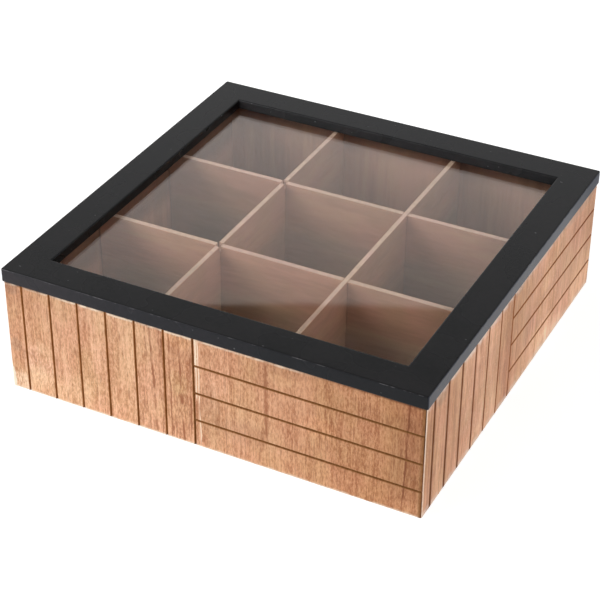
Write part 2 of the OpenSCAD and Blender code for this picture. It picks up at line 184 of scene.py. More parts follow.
# veneer on the outside of the walls
veneer = {
    "light": (0.97, 0.6, 0.385),
    "middle": (0.8, 0.445, 0.265),
    "dark": (0.55, 0.25, 0.125),
    "vein": (0.4, 0.155, 0.075),
    "burnt": ((0.25, 0.1, 0.028), (0.35, 0.155, 0.050)),  # inside the grooves
    # a factor on the burnt colours, by place in mm along the wall
    "soot": {
        "front": [(-119, (1.4, 1.4, 1.4)), (-10, (1.3, 1.3, 1.3)), (-6, (1.05, 1.05, 1.1)),
                  (119, (0.85, 0.85, 0.9))],
        "right": [(-119, (0.66, 0.56, 0.6)), (-60, (0.85, 0.72, 0.8)), (-20, (1.3, 1.15, 1.25)),
                  (60, (1.2, 1.05, 1.15)), (119, (1.1, 0.85, 1.0))],
        "back": [(0, (0.9, 0.88, 0.95))],
        "left": [(0, (0.85, 0.8, 0.9))],
    },
    "bareAndLitEdge": {"right": (0.94, 0.8, 0.7), "others": (0.97, 0.78, 0.6)},  # worn arrises, which also carry a painted highlight
    "palest": (1.0, 0.78, 0.58),     # pale streaks
    "core": (0.98, 0.87, 0.68),      # bared at worn corners
    "speck": (1.0, 0.72, 0.52),      # pale specks
    "hues": ((1.015, 0.975, 0.995), (0.99, 1.012, 0.965)),  # rosy and golden patches
    "roughness": 0.55,
    "offset": {"front": 0.31, "right": 1.73, "back": 2.91, "left": 4.17},  # keeps the walls' grain apart
    # noises: changes per metre along the wall and upwards, detail, roughness and place
    "figureNoise": (85, 22, 3.0, 0.55),
    "cloudNoise": (30, 24, 2.0, 0.5, (3, 0, 1)),
    "strokeNoise": (640, 105, 1.0, 0.5, (4, 0, 8)),
    "hueNoise": (52, 34, 2.0, 0.55, (8, 0, 5)),
    "veinNoise": (150, 15, 2.0, 0.5, (5, 0, 3)),
    "wearNoise": (240, 300, 3.0, 0.6),
    "streakNoise": 60,               # how often a streak strays, per metre upwards
    # flecks: how wide in mm and how many times longer; lines: how wide in mm
    "flecks": {"front": (0.62, 4.0), "right": (0.9, 8.0), "back": (0.7, 5.0), "left": (0.8, 9.0)},
    "lineWide": {"front": 1.15, "right": 2.4, "back": 1.4, "left": 1.8},
    # how much the flecks, the lines, the figure and the clouds show
    "shares": {"front": (2.15, 1.2, 1.0, 0.8), "right": (1.1, 0.95, 1.0, 0.7),
               "back": (1.4, 1.2, 1.3, 0.9), "left": (1.0, 1.2, 1.2, 0.8)},
    "pores": {"front": 0.34, "right": 0.12, "back": 0.3, "left": 0.2},
    "strokes": {"front": 0.55, "right": 0.18, "back": 0.5, "left": 0.3},  # short dark strokes
    "specks": 0.26,
    # a factor on the colour of each wall: a painted cooler shade on the right and the left wall
    "shadeTint": {"right": (1.0, 1.0, 1.04), "left": (0.97, 0.99, 1.02), "others": (1, 1, 1)},
    "veinHalf": 0.06,                # how wide the figured veins are, in levels of their noise
    "fade": 2,                       # how far either side a stretch or a streak fades, in mm
    "rubAndGleamPatchy": 3.2,                # how patchy the worn arrises and their painted highlight are
    "wornPatchy": 1.4,               # and the worn corners
    # where the dark figured veins run: from and to in mm, strength
    "veined": {
        "front": [(-121, -108, 0.5), (-41, -31, 1.0), (-28, -8, 1.5), (0, 60, 0.45), (60, 121, 0.6)],
        "right": [(-120, -92, 0.5), (-60, -40, 0.35), (-26, 0, 0.6), (0, 121, 0.35)],
        "back": [(-70, -30, 0.8), (20, 60, 0.6)],
        "left": [(-110, -80, 0.6), (-30, 30, 0.7)],
    },
    # single streaks: place in mm, drift downwards in mm, half width in mm, strength (below 0 for a pale one),
    # how far it strays in mm, and the height in mm from which it shows
    # the pale streaks at the near corner, at 118.4 on the front and -118.5 on the right, are painted
    # highlights along it
    "streaks": {
        "front": [(-5.7, 0, 0.55, -1.0, 0.3, 49), (-5.6, 0, 0.35, -0.8, 0.5, 30),
                  (-3.7, 0.8, 0.35, -0.7, 1.4), (118.4, 0, 0.25, -0.3, 0.4, 40), (-94, -12, 0.9, 0.25, 3.0),
                  (-70, 0, 0.6, 0.25, 2.0), (-65.5, 0, 0.5, 0.22, 2.0), (-29.5, 2.5, 0.9, 0.6, 2.4),
                  (-21, 0, 0.6, 0.5, 2.4), (-13.8, 1.5, 0.9, 0.6, 2.4), (-9.3, -0.5, 0.7, 0.5, 1.8),
                  (11, 0, 0.5, 0.35, 2.0), (34, 0.5, 1.5, 0.42, 2.2, 20), (50, 0, 0.5, 0.25, 2.4),
                  (67, 0.5, 0.5, 0.28, 2.4), (84.5, 0.5, 0.5, 0.25, 2.4), (108.5, -2, 0.55, 0.6, 2.0)],
        "right": [(-118.5, 0, 0.45, -0.6, 0.2), (-113.2, 0, 1.3, 0.3, 0.3), (-83, 0, 2.6, 0.26, 0.8),
                  (-51, 0, 2.4, 0.2, 0.8), (-32, 0, 2.0, 0.16, 0.8), (-12, 0, 3.0, 0.2, 0.8),
                  (92, 0, 1.2, 0.2, 0.8)],
        "back": [(-52, 2, 0.8, 0.4, 3.0), (83, -2, 1.3, 0.3, 3.0)],
        "left": [(-60, 1, 0.9, 0.4, 3.0), (44, -2, 1.0, 0.35, 3.0)],
    },
    # how light each wall is along its length, by place in mm: partly the veneer's own tone and partly painted
    # light, on the front falling off from the lit left end towards the near corner
    "tone": {
        "front": [(-119, 0.86), (-109, 0.9), (-85, 0.95), (-50, 0.99), (-34, 0.97), (-26, 0.9),
                  (-10, 0.905), (4, 0.95), (18, 0.875), (45, 0.82), (60, 0.76), (76, 0.74), (94, 0.7),
                  (106, 0.58), (119, 0.6)],
        "right": [(-119, 0.76), (-100, 0.9), (-84, 0.81), (-66, 0.97), (-52, 0.93), (-38, 1.02), (-20, 0.85),
                  (-4, 0.76), (6, 0.84), (28, 1.0), (54, 1.02), (74, 0.94), (94, 0.99), (119, 0.9)],
        "back": [(-119, 0.84), (0, 0.9), (119, 0.8)],
        "left": [(-119, 0.78), (30, 0.9), (119, 0.88)],
    },
    "tonePowers": (1.0, 1.4, 1.9),   # how fast red, green and blue follow it
    # and by height: painted light and shade, lighter low down and darkest in a painted shadow just under the
    # lid
    "heightShading": {
        "front": [(0, 1.13), (10, 1.09), (22, 1.01), (40, 0.99), (47, 0.98), (55, 0.92), (65.1, 0.92),
                  (66.2, 0.55)],
        "right": [(0, 1.14), (13, 1.12), (20, 1.0), (42, 0.93), (50, 0.9), (57, 0.92), (62, 0.99),
                  (65, 0.96), (66.2, 0.72)],
        "others": [(0, 1.08), (30, 1.0), (66, 0.93)],
    },
    "heightPowers": (1.0, 1.15, 1.25),
    # how strongly that shows along each wall
    "heightShare": {
        "front": [(-119, 1.35), (-70, 1.0), (-10, 0.9), (8, 0.4), (40, 0.5), (119, 1.4)],
        "right": [(-119, 0.3), (-20, 0.6), (0, 1.1), (119, 1.25)],
        "others": [(0, 1)],
    },
    # lighter and darker patches, partly the veneer's own blotches and partly painted light and shade, such as
    # the darker ones just under the lid and the pale ones along the foot: place, height, half width and half
    # height in mm, factor on the colour
    "patches": {
        "front": [(-115, 64, 5, 5, (0.8, 0.84, 0.88)), (-115, 28, 4, 5, (0.8, 0.82, 0.84)),
                  (-114, 0, 8, 12, (1.22, 1.48, 1.78)), (-101, 19, 9, 16, (1.16, 1.27, 1.38)),
                  (-67, 30, 8, 24, (1.05, 1.1, 1.1)),
                  (-16, 63, 9, 6, (1.15, 1.2, 1.16)), (2, 22, 8, 22, (0.86, 0.86, 0.84)),
                  (22, 17, 20, 10, (0.88, 0.84, 0.86)), (44, 64, 16, 5, (0.88, 0.84, 0.84)),
                  (62, 36, 12, 8, (1.14, 1.14, 1.14)), (98, 62, 24, 5, (1.1, 1.12, 1.14)),
                  (32, 57, 10, 9, (0.94, 0.95, 0.93)), (-16, 36, 8, 8, (1.03, 1.1, 1.08)),
                  (112, 26, 12, 40, (0.94, 0.97, 1.01)), (112, 3, 9, 6, (1.2, 1.24, 1.3)),
                  (-90, 10, 26, 12, (1.03, 1.07, 1.1))],
        "right": [(-101, 65, 9, 8, (0.74, 0.8, 0.84)), (-41, 56, 20, 9, (1.1, 1.13, 1.13)),
                  (-50, 16, 9, 11, (1.09, 1.16, 1.2)), (-67, 25, 9, 10, (1.08, 1.15, 1.21)),
                  (40, 45, 20, 7, (1.14, 1.18, 1.16)), (55, 3, 26, 8, (1.1, 1.2, 1.28)),
                  (100, 47, 20, 18, (0.95, 0.91, 0.88)), (95, 65, 34, 5, (0.85, 0.92, 0.98)),
                  (104, 14, 20, 14, (1.09, 1.09, 1.09)), (40, 13, 20, 8, (1.12, 1.17, 1.17)),
                  (48, 28, 17, 7, (1.08, 1.13, 1.08)), (48, 56, 15, 8, (1.09, 1.08, 1.03)),
                  (63, 5, 10, 5, (1.08, 1.12, 1.12)), (-50, 5, 9, 5, (1.1, 1.18, 1.18)),
                  (1, 5, 8, 5, (1.06, 1.14, 1.18)), (0, 64, 9, 3, (0.86, 0.88, 0.9)),
                  (16, 30, 8, 13, (0.91, 0.91, 0.91))],
        "back": [(-60, 20, 14, 16, (1.08, 1.12, 1.15)), (40, 40, 24, 10, (0.9, 0.88, 0.86))],
        "left": [(-84, 30, 9, 18, (1.07, 1.1, 1.12)), (70, 24, 26, 9, (0.92, 0.9, 0.88))],
    },
    # how far the arrises are worn pale and painted with a highlight, at the left and the right end
    "rubAndGleam": {"front": (1.0, 0.7), "right": (0.62, 0.5), "back": (0.6, 0.7), "left": (0.6, 0.6)},
    # corners worn to the core: place, height, half width and half height in mm
    "worn": {"front": [(-119.0, -1, 2.3, 16)], "right": [], "back": [(119.6, 0, 1.8, 6)],
             "left": [(-119.4, 0, 2.0, 7)]},
}


def figuredVeins(look, noise, u, flecks, cloud):
    # they lie along the level lines of a stretched noise, on some stretches of the wall
    crest = calc("ABSOLUTE", minus(noise(*look["veinNoise"]), 0.5))
    vein = ease(crest, 0.0, look["veinHalf"], 1.0, 0.0)
    vein = times(vein, ease(flecks, 0.62, 0.40, 0.3, 1.0))
    shown, fade = 0.0, look["fade"]
    for low, high, strength in look["veined"]:
        rise = ease(u, (low - fade) * mm, (low + fade) * mm, 0.0, strength)
        fall = ease(u, (high - fade) * mm, (high + fade) * mm, 1.0, 0.0)
        shown = plus(shown, times(rise, fall))
    return times(vein, times(shown, ease(cloud, 0.36, 0.60, 0.25, 0.75)))


def streakShade(look, u, z, flecks):
    # single streaks wander a little on the way down and fade in and out; the pale ones count below 0
    shade, fade = 0.0, look["fade"]
    for number, (place, drift, half, strength, strays, *foot) in enumerate(look["streaks"]):
        own = put("CombineXYZ", {0: look["offset"] + number, 1: 0.0, 2: z}).outputs[0]
        way = grain(own, (1, 1, look["streakNoise"]), 2.0, 0.6)
        centre = plus(times(way, strays * mm), (place - strays / 2) * mm)
        centre = plus(centre, times(z, -drift * mm / wallTop))
        away = calc("ABSOLUTE", minus(u, centre))
        away = times(away, ease(flecks, 0.3, 0.7, 0.7, 1.5))
        mark = ease(away, 0.0, 1.8 * half * mm, strength, 0.0)
        if strays > 1:
            mark = times(mark, ease(way, 0.36, 0.56, 0.25, 1.3))
        if foot:
            mark = times(mark, ease(z, (foot[0] - fade) * mm, (foot[0] + fade) * mm))
        shade = plus(shade, mark)
    return shade


def toneAndShadeVeneer(look, colour, u, z, cloud):
    # lighter and darker along the wall, by height and in patches, partly the veneer's own tone and partly
    # painted light and shade; the darker, the warmer
    stops = [(place, tuple(level ** power * part for power, part in zip(look["tonePowers"], look["shadeTint"])))
             for place, level in look["tone"]]
    colour = tinted(colour, factorAlong(u, -wallOut, wallOut, stops))
    stops = [(place, tuple(level ** power for power in look["heightPowers"]))
             for place, level in look["heightShading"]]
    gain = factorAlong(z, 0.0, wallTop, stops)
    gain = put("VectorMath", {0: gain, 1: (1, 1, 1)}, operation="SUBTRACT").outputs[0]
    stops = [(place, (share, share, share)) for place, share in look["heightShare"]]
    share = factorAlong(u, -wallOut, wallOut, stops)
    gain = put("VectorMath", {0: gain, 1: share, 2: (1, 1, 1)}, operation="MULTIPLY_ADD").outputs[0]
    colour = tinted(colour, gain)
    for *blot, factor in look["patches"]:
        reach = plus(blotReach(u, z, *blot), cloud)
        colour = tinted(colour, factor, ease(reach, 0.7, 1.7, 1.0, 0.0))
    return colour


def wearAndHighlightVeneer(look, colour, u, z, uneven):
    # the finish wears off the arrises, which also carry a painted highlight along the top under the lid and
    # down the corners, and some corners are worn to the core
    edge = put("Attribute", attribute_name="edge").outputs["Fac"]
    start, end = look["rubAndGleam"]
    patchy = plus(times(uneven, look["rubAndGleamPatchy"]), 1.0)
    rubbedAndLit = ease(times(edge, patchy), 0.10, 0.90)
    rubbedAndLit = times(rubbedAndLit, ease(u, -0.5 * wallOut, 0.6 * wallOut, start, end))
    colour = mixColour(rubbedAndLit, colour, look["bareAndLitEdge"])
    for blot in look["worn"]:
        reach = plus(blotReach(u, z, *blot), times(uneven, look["wornPatchy"]))
        colour = mixColour(ease(reach, 0.6, 1.0, 1.0, 0.0), colour, look["core"])
    return colour


def makeVeneer(side):
    # u runs along the wall from its left end to its right one, z upwards
    material = newMaterial("veneer_" + side)
    look = ownValues(veneer, side)
    split = put("SeparateXYZ", {0: objectSpot()}).outputs
    u = times(split[sides.index(side) % 2], 1.0 if side in ("front", "right") else -1.0)
    z = split[2]
    face = put("CombineXYZ", {0: u, 1: look["offset"], 2: z}).outputs[0]

    def noise(across, up, detail, roughness, place=(0, 0, 0)):
        return grain(face, (across, 1, up), detail, roughness, place)

    wide, longer = look["flecks"]
    fine = 1 / (wide * mm)
    flecks = noise(fine * 0.8, fine / longer, 3.0, 0.62)
    lines = noise(1 / (look["lineWide"] * mm), 22, 2.0, 0.55, (2, 0, 6))
    figure = noise(*look["figureNoise"])
    cloud = noise(*look["cloudNoise"])
    pores = ease(noise(fine * 1.1, fine / longer, 1.0, 0.5, (7, 0, 2)), 0.58, 0.72)
    specks = ease(noise(fine * 0.9, fine * 0.7, 1.0, 0.5, (1, 0, 9)), 0.56, 0.70)
    strokes = ease(noise(*look["strokeNoise"]), 0.60, 0.76)

    # each layer swings about the middle of the ramp by its own share
    tone = 0.5
    for layer, share in zip((flecks, lines, figure, cloud), look["shares"]):
        tone = plus(times(minus(layer, 0.5), share), tone)
    colour = ramp(tone, [(0.05, look["dark"]), (0.5, look["middle"]), (0.95, look["light"])])
    colour = mixColour(times(pores, look["pores"]), colour, look["vein"])
    colour = mixColour(times(strokes, look["strokes"]), colour, look["vein"])
    colour = mixColour(times(specks, look["specks"]), colour, look["speck"])
    hue = mixColour(ease(noise(*look["hueNoise"]), 0.36, 0.64), *look["hues"])
    colour = tinted(colour, hue)

    colour = mixColour(figuredVeins(look, noise, u, flecks, cloud), colour, look["vein"])
    shade = streakShade(look, u, z, flecks)
    colour = mixColour(ease(shade, 0.0, 0.8), colour, look["vein"])
    colour = toneAndShadeVeneer(look, colour, u, z, cloud)
    colour = mixColour(ease(times(shade, -1.0), 0.0, 0.8), colour, look["palest"])
    colour = wearAndHighlightVeneer(look, colour, u, z, minus(noise(*look["wearNoise"]), 0.5))

    burn = put("Attribute", attribute_name="burn").outputs["Fac"]
    soot = mixColour(ease(flecks, 0.35, 0.7), *look["burnt"])
    soot = tinted(soot, factorAlong(u, -wallOut, wallOut, look["soot"]))
    colour = mixColour(burn, colour, soot)
    rough = ease(flecks, 0.3, 0.7, look["roughness"] - 0.06, look["roughness"] + 0.1)
    rough = calc("MAXIMUM", rough, times(burn, 0.95))
    height = minus(times(flecks, 0.5), pores)
    coat(colour, rough, (height, 0.2, 0.1), {"Specular IOR Level": 0.25})
    return material


# bare board: inside of the walls, dividers and bottom
bareBoard = {
    "face": (0.532, 0.287, 0.179),
    "rosy": (0.574, 0.290, 0.197),
    "pale": (0.559, 0.316, 0.195),
    "cutEdge": (0.66, 0.44, 0.32),
    "panel": (0.36, 0.21, 0.13),
    "roughness": 0.7,
    # how often the grain changes per metre along x, y and z
    "uprightGrain": (150, 150, 9),
    "levelGrain": (14, 14, 110),
    "noGrain": (420, 420, 420),
    "fineTimes": 6,       # how many times finer the fine grain is
    "patchNoise": 45,
    "lowEnds": (30, 46),  # between these heights in mm a painted shade colour on the lower part fades out
    # each board: its colour, how far the grain darkens it, how the grain runs, where it is darker (along
    # which axis, from and to in mm, how far; on the faces a painted shade under the lid's rails, further back
    # and near the right wall) and a painted shade colour, greyer and bluer, on its lower part
    "kinds": {
        "board_inner_face": ("face", 0.17, "uprightGrain", [(2, 47, 62, 0.5)]),
        "board_side_face": ("face", 0.17, "uprightGrain", [(2, 30, 45, 0.45)]),
        "board_cross_face": ("face", 0.18, "levelGrain", [(1, -40, 30, 0.84), (0, 76, 110, 0.76)],
                             (0.91, 1.10, 1.14)),
        "board_deep_face": ("face", 0.18, "levelGrain", [(1, -40, 30, 0.84)], (0.93, 1.06, 1.08)),
        "board_cross_edge": ("cutEdge", 0.2, "noGrain", [(0, -50, 0, 0.94)]),
        "board_deep_edge": ("cutEdge", 0.2, "noGrain", [(1, -42, -80, 0.78)]),
        "hardboard": ("panel", 0.2, "noGrain"),
    },
}


def makeBoard(name, colour, contrast, lines, darkens=(), lowShadeTint=None):
    material = newMaterial(name)
    spot = objectSpot()
    colour, lines = bareBoard[colour], bareBoard[lines]
    fine = grain(spot, tuple(bareBoard["fineTimes"] * step for step in lines), 2.0, 0.6)
    broad = grain(spot, lines, 3.0, 0.6, (5, 1, 3))
    patch = grain(spot, bareBoard["patchNoise"], 2.0, 0.5, (2, 6, 1))
    rosy, pale = (tuple(c * t / f for c, t, f in zip(colour, bareBoard[tone], bareBoard["face"]))
                  for tone in ("rosy", "pale"))
    shown = mixColour(ease(patch, 0.35, 0.65), rosy, colour)
    shown = mixColour(ease(broad, 0.52, 0.72), shown, pale)
    level = ease(plus(times(fine, 0.4), times(broad, 0.6)), 0.32, 0.62, 1 - contrast, 1.0)
    split = put("SeparateXYZ", {0: spot}).outputs
    # darker in places; on the faces this is painted shade
    for axis, low, high, dark in darkens:
        level = times(level, ease(split[axis], low * mm, high * mm, 1.0, dark))
    shown = tinted(shown, grey(level))
    # a painted shade colour, greyer and bluer, on the lower part
    if lowShadeTint:
        low, high = (height * mm for height in bareBoard["lowEnds"])
        shown = tinted(shown, lowShadeTint, ease(split[2], low, high, 1.0, 0.0))
    rough = ease(broad, 0.3, 0.7, bareBoard["roughness"] - 0.06, bareBoard["roughness"] + 0.08)
    coat(shown, rough, (fine, 0.15, 0.1), {"Specular IOR Level": 0.3})
    return material


# black lacquer on the lid's rails
lacquer = {
    "colour": (0.0115, 0.0115, 0.0118),
    "cloudy": (0.0152, 0.0142, 0.0149),
    # colour of the line along the outer top arris: a painted highlight, broken up like worn lacquer
    "worn": (0.16, 0.155, 0.16),
    "speck": (0.10, 0.10, 0.105),
    "roughness": 0.27,
    "orangePeel": 0.02,
    "shine": (0.90, 0.95, 1.0),
    # changes per metre: brush marks across and along the rail, orange peel, clouds, dust, worn places
    "brushNoise": (520.0, 22.0), "peelNoise": 420, "cloudNoise": 28, "dustNoise": 560, "wearNoise": 160,
    # rails across and deep, their plain parts and their sides: a factor on the colour, by place in mm;
    # on the sides it is painted light and shade: a painted reflection on the outer side of the front rail,
    # fading towards the near corner, and a bluish one on the right rail's; the inner sides painted lighter
    # on the front and back rails and darker, a painted shade, on the left and right rails
    "kinds": {
        "across": [],
        "across_outer": [(-119, (2.3, 2.15, 2.3)), (-40, (1.5, 1.5, 1.7)), (40, (0.85, 0.9, 1.0)),
                         (119, (0.58, 0.62, 0.68))],
        "across_inner": [(-119, (1.9, 1.9, 1.9)), (119, (1.3, 1.3, 1.3))],
        "deep": [],
        "deep_outer": [(-119, (1.2, 1.5, 2.3)), (119, (1.2, 1.6, 2.6))],
        "deep_inner": [(-119, (0.2, 0.17, 0.15)), (119, (0.2, 0.17, 0.15))],
    },
    "farRough": (50, 110, 0.18),  # where the right rail's outer side gets duller, in mm, and by how much
}


def makeLacquer(kind, factors):
    material = newMaterial("black_lacquer_" + kind)
    lengthwise = 1 if kind.startswith("deep") else 0
    spot = objectSpot()
    across, along = lacquer["brushNoise"]
    brushed = grain(spot, tuple(along if axis == lengthwise else across for axis in range(3)), 3.0, 0.6)
    peel = grain(spot, lacquer["peelNoise"], 2.0, 0.5, (2, 8, 4))
    cloud = grain(spot, lacquer["cloudNoise"], 2.0, 0.5, (6, 3, 1))
    dust = ease(grain(spot, lacquer["dustNoise"], 0.0, 0.5, (9, 4, 7)), 0.855, 0.88)
    edge = put("Attribute", attribute_name="edge").outputs["Fac"]
    mottled = plus(times(cloud, 0.5), times(peel, 0.5))
    colour = mixColour(ease(mottled, 0.36, 0.64), lacquer["colour"], lacquer["cloudy"])
    place = put("SeparateXYZ", {0: spot}).outputs[lengthwise]
    # painted light and shade on the rails' sides, by place along them
    if factors:
        colour = tinted(colour, factorAlong(place, -railOut, railOut, factors))
    # the thin pale line along the outer top arris is a painted highlight, broken up by a noise
    worn = ease(grain(spot, lacquer["wearNoise"], 3.0, 0.65, (1, 5, 2)), 0.50, 0.66)
    colour = mixColour(times(edge, worn), colour, lacquer["worn"])
    colour = mixColour(dust, colour, lacquer["speck"])
    height = plus(times(brushed, 0.35), times(peel, 0.65))
    rough = ease(cloud, 0.3, 0.7, lacquer["roughness"] - 0.02, lacquer["roughness"] + 0.03)
    if kind == "deep_outer":
        low, high, duller = lacquer["farRough"]
        rough = plus(rough, ease(place, low * mm, high * mm, 0.0, duller))
    coat(colour, rough, (height, lacquer["orangePeel"], 0.12),
         {"Specular IOR Level": 0.15, "Specular Tint": lacquer["shine"]})
    return material


glass = {
    "tints": ((0.965, 0.985, 0.975), (0.95, 0.975, 0.965)),
    "tintNoise": 9,
    "shine": (1.0, 0.91, 0.86),
    "lightThrough": 0.87,  # how much of the light from straight above comes in
}


def makeGlass():
    material = newMaterial("clear_glass")
    cloudy = ease(grain(objectSpot(), glass["tintNoise"], 1.0), 0.35, 0.65)
    pane = put("BsdfPrincipled", {"Base Color": mixColour(cloudy, *glass["tints"]), "Roughness": 0.0,
                                  "Transmission Weight": 1.0, "IOR": 1.5, "Specular Tint": glass["shine"]})
    # light on its way in is held back more the lower it comes
    slant = calc("POWER", put("LayerWeight", {"Blend": 0.5}).outputs["Facing"], 5.0)
    clear = put("BsdfTransparent", {"Color": grey(slide(slant, 0.0, 1.0, glass["lightThrough"], 0.0))})
    shadowRay = put("LightPath").outputs["Is Shadow Ray"]
    paint(put("MixShader", {0: shadowRay, 1: pane.outputs[0], 2: clear.outputs[0]}))
    return material


sealant = {"dark": (0.012, 0.012, 0.012), "dusty": (0.020, 0.020, 0.019), "roughness": 0.55, "lumps": 160}


def makeSealant():
    material = newMaterial("black_sealant")
    lumps = grain(objectSpot(), sealant["lumps"], 2.0)
    colour = mixColour(ease(lumps, 0.3, 0.7), sealant["dark"], sealant["dusty"])
    coat(colour, sealant["roughness"], (lumps, 0.3, 0.2), {"Specular IOR Level": 0.3})
    return material


# hinge leaves, then pins and screws: bright and dull colour, and how rough where bright
metals = {
    "brassed_steel": ((0.86, 0.66, 0.32), (0.55, 0.38, 0.16), 0.24),
    "plated_steel": ((0.82, 0.76, 0.60), (0.52, 0.46, 0.34), 0.28),
}


def makeMetal(name):
    material = newMaterial(name)
    bright, dull, roughness = metals[name]
    spot = objectSpot()
    rolled = grain(spot, (90, 1400, 1400), 2.0, 0.6)
    stains = grain(spot, 240, 3.0, 0.6, (4, 4, 1))
    colour = mixColour(ease(stains, 0.42, 0.68), bright, dull)
    rough = ease(stains, 0.35, 0.7, roughness, roughness + 0.18)
    coat(colour, rough, (rolled, 0.12, 0.05), {"Metallic": 1.0})
    return material


veneerOf = {side: makeVeneer(side) for side in sides}
boardOf = {name: makeBoard(name, *values) for name, values in bareBoard["kinds"].items()}
lacquerOf = {kind: makeLacquer(kind, factors) for kind, factors in lacquer["kinds"].items()}
glassClear = makeGlass()
sealantBlack = makeSealant()
brass = makeMetal("brassed_steel")
zinc = makeMetal("plated_steel")
print("materials made")


# mesh helpers

def finishMesh(name, bm, materials, body, node, sharpAngle=32):
    near = 0.0005 * mm  # corners this close are one
    bmesh.ops.remove_doubles(bm, verts=bm.verts, dist=near)
    bmesh.ops.dissolve_degenerate(bm, edges=bm.edges, dist=near)
    bmesh.ops.triangulate(bm, faces=[face for face in bm.faces if len(face.verts) > 4])
    bmesh.ops.recalc_face_normals(bm, faces=bm.faces)
    mesh = bpy.data.meshes.new(name)
    bm.to_mesh(mesh)
    bm.free()
    for material in materials:
        mesh.materials.append(material)
    mesh.shade_smooth()
    mesh.set_sharp_from_angle(angle=math.radians(sharpAngle))
    piece = bpy.data.objects.new(name, mesh)
    scene.collection.objects.link(piece)
    even = piece.modifiers.new("even_normals", "WEIGHTED_NORMAL")  # keeps the flats flat beside small rounds
    even.weight = 100
    even.keep_sharp = True
    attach(piece, body)
    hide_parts(node)


def loftBoard(bm, columns, side, out, skin):
    # columns of (along, depth, height, edge, burn) points round the board, cut back to the mitre planes;
    # skin says which material each row of faces gets, and the ends get the second one
    # edge: worn arrises with a painted highlight on the walls, a painted highlight line on the rails
    edgeLayer = bm.verts.layers.float.new("edge")
    burnLayer = bm.verts.layers.float.new("burn")
    turn = Matrix.Rotation(math.radians(90 * sides.index(side)), 4, "Z")
    rows = []
    for column in columns:
        row = []
        for along, depth, height, edge, burn in column:
            along = max(-(out - depth), min(out - depth, along))
            vert = bm.verts.new(turn @ Vector((along, depth - out, height)))
            vert[edgeLayer] = edge
            vert[burnLayer] = burn
            row.append(vert)
        rows.append(row)
    count = len(skin)
    for left, right in zip(rows, rows[1:]):
        for i in range(count):
            j = (i + 1) % count
            bm.faces.new((left[i], right[i], right[j], left[j])).material_index = skin[i]
    bm.faces.new(rows[0]).material_index = 1
    bm.faces.new(rows[-1][::-1]).material_index = 1


# the hinge leaves are let into the back wall and the back rail
hingeSeat = {"reach": 5.3, "deep": 0.9, "play": 0.1, "rim": 0.002}  # mm
seatSpans = []
for leaf in ("hinge_left_wall_leaf", "hinge_right_wall_leaf"):
    low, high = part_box(leaf)
    seatSpans.append((low.x - hingeSeat["play"] * mm, high.x + hingeSeat["play"] * mm))


def inSeat(side, u):
    return side == "back" and any(low <= -u <= high for low, high in seatSpans)


def seatRims(side):
    # places along the back where the seats begin and end, each with one just outside it
    rim = hingeSeat["rim"] * mm
    spans = seatSpans if side == "back" else []
    return [u for low, high in spans for u in (-high - rim, -high, -low, -low + rim)]


# walls
wallShape = {
    # upright grooves: the first one's place from the left end, and the pitch, in mm
    "uprights": {"front": (10.7, 16.91), "right": (9.75, 17.04), "others": (9.8, 17.0)},
    "uprightCount": 7,
    # how high the level grooves are, in mm
    "levels": {"front": (16.3, 33.2, 50.05), "right": (16.3, 33.4, 50.35), "others": (15.5, 32.5, 49.5)},
    # half a groove, from its rim to the middle: how far from the middle and how deep, in mm
    "grooveRim": 0.58,
    "grooveSection": [(0.56, 0.02), (0.49, 0.10), (0.43, 0.30), (0.39, 0.62), (0.30, 0.88), (0.14, 0.985)],
    "grooveDeep": 1.0,
    # how far the burn spreads beside each upright groove, and beside the level ones, in mm
    "scorch": {"right": ([1.4, 1.35, 1.15, 0.85, 0.6, 0.5, 0.4], 0.4), "others": ([0.3] * 7, 0.3)},
    "arris": 0.5,
    "arrisTurns": (90, 65, 40, 15),
    # how far from the arris the finish is worn and painted with a highlight, in mm, and how much, at the top
    # and at the foot
    "rubbedAndLitTop": {"front": [(1.7, 0.0), (0.9, 0.34), (0.4, 0.72), (0.0, 0.62)],
                  "right": [(5.0, 0.0), (2.4, 0.3), (0.9, 0.5), (0.25, 0.8), (0.0, 1.0)],
                  "others": [(1.6, 0.0), (0.5, 0.3), (0.15, 0.6), (0.0, 0.9)]},
    "rubbedFoot": {"front": [(0.0, 1.0), (0.3, 0.6), (0.8, 0.25), (1.8, 0.0)],
                   "right": [(0.0, 1.0), (0.3, 0.8), (1.2, 0.55), (5.0, 0.0)],
                   "others": [(0.0, 1.0), (0.3, 0.6), (0.8, 0.3), (2.0, 0.0)]},
    # how much of the top's wear and painted highlight there is along the wall, by place in mm
    "topRubAndLightAlong": {"front": [(-119, 0.6), (-82, 0.75), (-70, 1.0), (46, 0.95), (70, 0.12), (119, 0.05)],
                    "right": [(-119, 0.8), (-92, 1.0), (-60, 1.5), (-8, 1.4), (12, 1.1), (50, 1.0),
                              (90, 0.4)],
                    "others": [(0, 1.0)]},
    # the left end is rounded: radius in mm, how much it is worn pale and painted with a highlight along the
    # corner, and the turns of its corner in degrees
    "cornerRound": 0.85,
    "cornerRubAndGleam": 0.8,
    "cornerTurns": (45, 30, 15),
    # the right end has an open quirk: its size, its lip (how far in and how deep) and the burn beside it
    "quirk": 0.7,
    "quirkLip": [(0.06, 0.03), (0.0, 0.12)],
    "quirkScorch": {"front": [(1.9, 0.0), (1.2, 0.6), (0.25, 0.95)], "right": [(0.8, 0.0), (0.2, 0.3)],
                    "others": [(0.8, 0.0), (0.2, 0.5)]},
    "floorLap": 3.0,
    "gridStep": 4.0,
}


